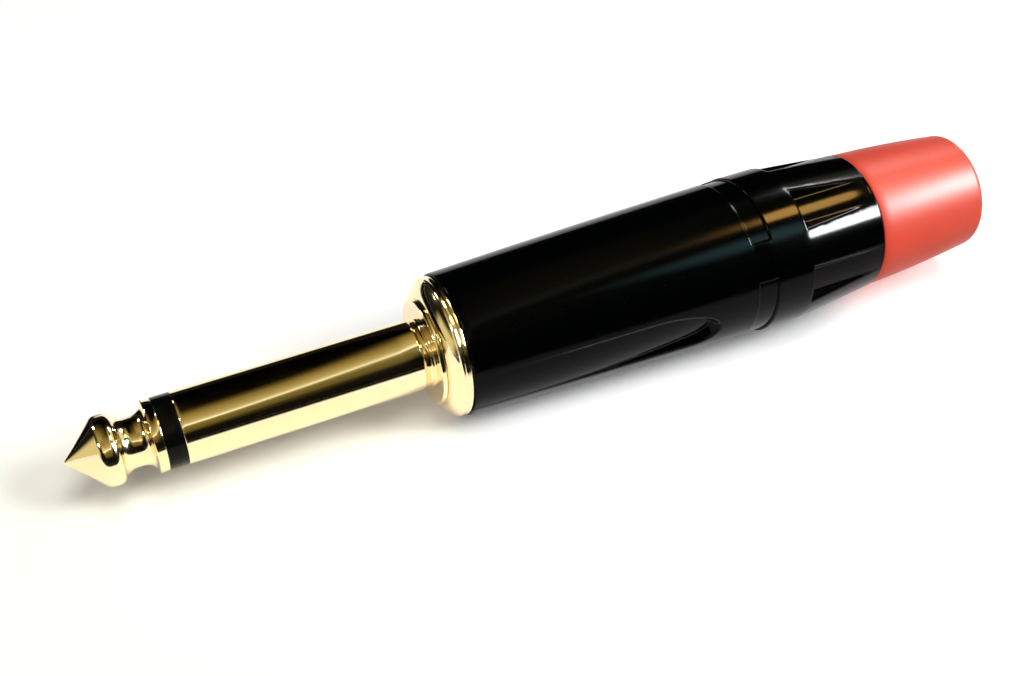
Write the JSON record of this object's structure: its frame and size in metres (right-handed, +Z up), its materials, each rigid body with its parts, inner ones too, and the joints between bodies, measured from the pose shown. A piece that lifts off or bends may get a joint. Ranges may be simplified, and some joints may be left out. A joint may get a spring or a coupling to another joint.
{
  "type": "straight two-pole jack plug",
  "caption": "Straight screw-on jack plug for an instrument lead: turned tip and barrel, flange, tapered shell with thumb scoops and grips, soft flared boot.",
  "frame": {"origin": "on the plug's axis, in the plane of the shoulder face that stops against a jack", "axes": "+X along the plug's axis from the point to the boot, +Z up as the plug lies, +Y to the left seen from the boot"},
  "size_m": [0.088, 0.0148, 0.0148],
  "materials": {
    "gold_plate": "polished gold plating",
    "ring_black": "gloss black",
    "tube_natural": "natural, smooth",
    "bush_black": "matt black",
    "rod_brass": "bare, turned",
    "lug_tin": "tinned",
    "liner_grey": "matt dark grey",
    "chuck_white": "matt off-white",
    "shell_black": "gloss black",
    "boot_red": "satin coral red"
  },
  "bodies": {
    "insert": {"plug_body": "gold_plate", "barrel": "gold_plate", "tip_contact": "gold_plate", "centre_rod": "rod_brass", "tip_insulator": "ring_black", "rod_tube": "tube_natural", "ground_lug": "lug_tin", "rear_insulator": "bush_black", "tip_lug": "lug_tin", "rivet_washer": "rod_brass"},
    "tail": {"chuck": "chuck_white", "liner": "liner_grey", "boot": "boot_red"},
    "shell": {"shell": "shell_black"}
  },
  "joints": [
    {"name": "shell_travel", "type": "slide", "parent": "insert", "child": "tail", "axis": [1, 0, 0], "range_m": [0, 0.0064]},
    {"name": "shell_turn", "type": "hinge", "parent": "tail", "child": "shell", "pos_m": [0, 0, 0], "axis": [1, 0, 0], "range_deg": [0, 2880]}
  ],
  "couplings": [
    {"joint": "shell_turn", "follows": "shell_travel", "rad_per_m": 7854}
  ]
}
